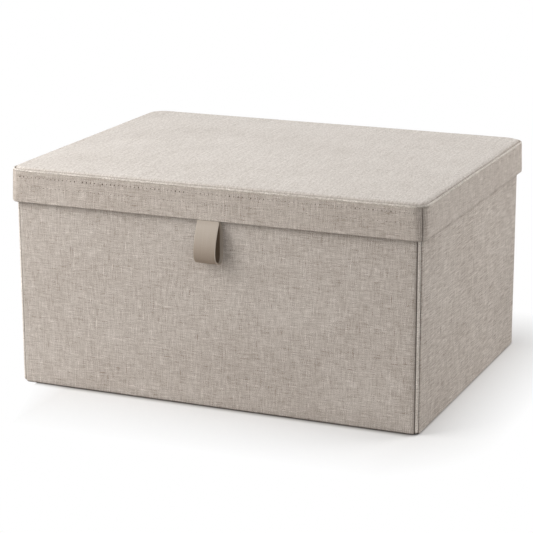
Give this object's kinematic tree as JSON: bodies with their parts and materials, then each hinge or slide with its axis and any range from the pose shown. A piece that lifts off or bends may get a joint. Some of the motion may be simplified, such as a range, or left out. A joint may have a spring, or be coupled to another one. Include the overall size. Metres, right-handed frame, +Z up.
{
  "type": "lidded fabric file box",
  "caption": "Linen-covered rectangular file box with a lift-off padded lid, welted corners, piped lid edge and a leather pull loop hanging from the lid's front rim.",
  "frame": {"origin": "middle of the box's flat underside, on the surface that it stands on", "axes": "+X to the right along the long side, +Y from the front with the pull loop to the back, +Z up"},
  "size_m": [0.4092, 0.318, 0.2138],
  "materials": {
    "wall_linen": "matte",
    "top_linen": "matte",
    "trim_linen": "matte",
    "lining_cloth": "matte",
    "grey_board": "matte",
    "foam_pad": "matte",
    "strap_leather": "satin"
  },
  "bodies": {
    "box": {"back_board": "grey_board", "back_cloth": "wall_linen", "back_lining": "lining_cloth", "base_board": "grey_board", "base_cloth": "wall_linen", "base_lining": "lining_cloth", "corner_welt_back_left": "trim_linen", "corner_welt_back_right": "trim_linen", "corner_welt_front_left": "trim_linen", "corner_welt_front_right": "trim_linen", "front_board": "grey_board", "front_cloth": "wall_linen", "front_lining": "lining_cloth", "left_board": "grey_board", "left_cloth": "wall_linen", "left_lining": "lining_cloth", "right_board": "grey_board", "right_cloth": "wall_linen", "right_lining": "lining_cloth"},
    "lid": {"lid_board": "grey_board", "lid_lining": "lining_cloth", "lid_pad": "foam_pad", "lid_piping": "trim_linen", "lid_top_cloth": "top_linen", "loop_tail": "strap_leather", "rim_back_board": "grey_board", "rim_back_cloth": "wall_linen", "rim_front_board": "grey_board", "rim_front_cloth": "wall_linen", "rim_left_board": "grey_board", "rim_left_cloth": "wall_linen", "rim_lining": "lining_cloth", "rim_right_board": "grey_board", "rim_right_cloth": "wall_linen"},
    "pull_loop": {"pull_loop": "strap_leather"}
  },
  "joints": [
    {"name": "lid_lift", "type": "slide", "parent": "box", "child": "lid", "axis": [0, 0, 1], "range_m": [0, 0.25]},
    {"name": "loop_swing", "type": "hinge", "parent": "lid", "child": "pull_loop", "pos_m": [0, -0.1525, 0.1766], "axis": [-1, 0, 0], "range_deg": [0, 70]}
  ]
}
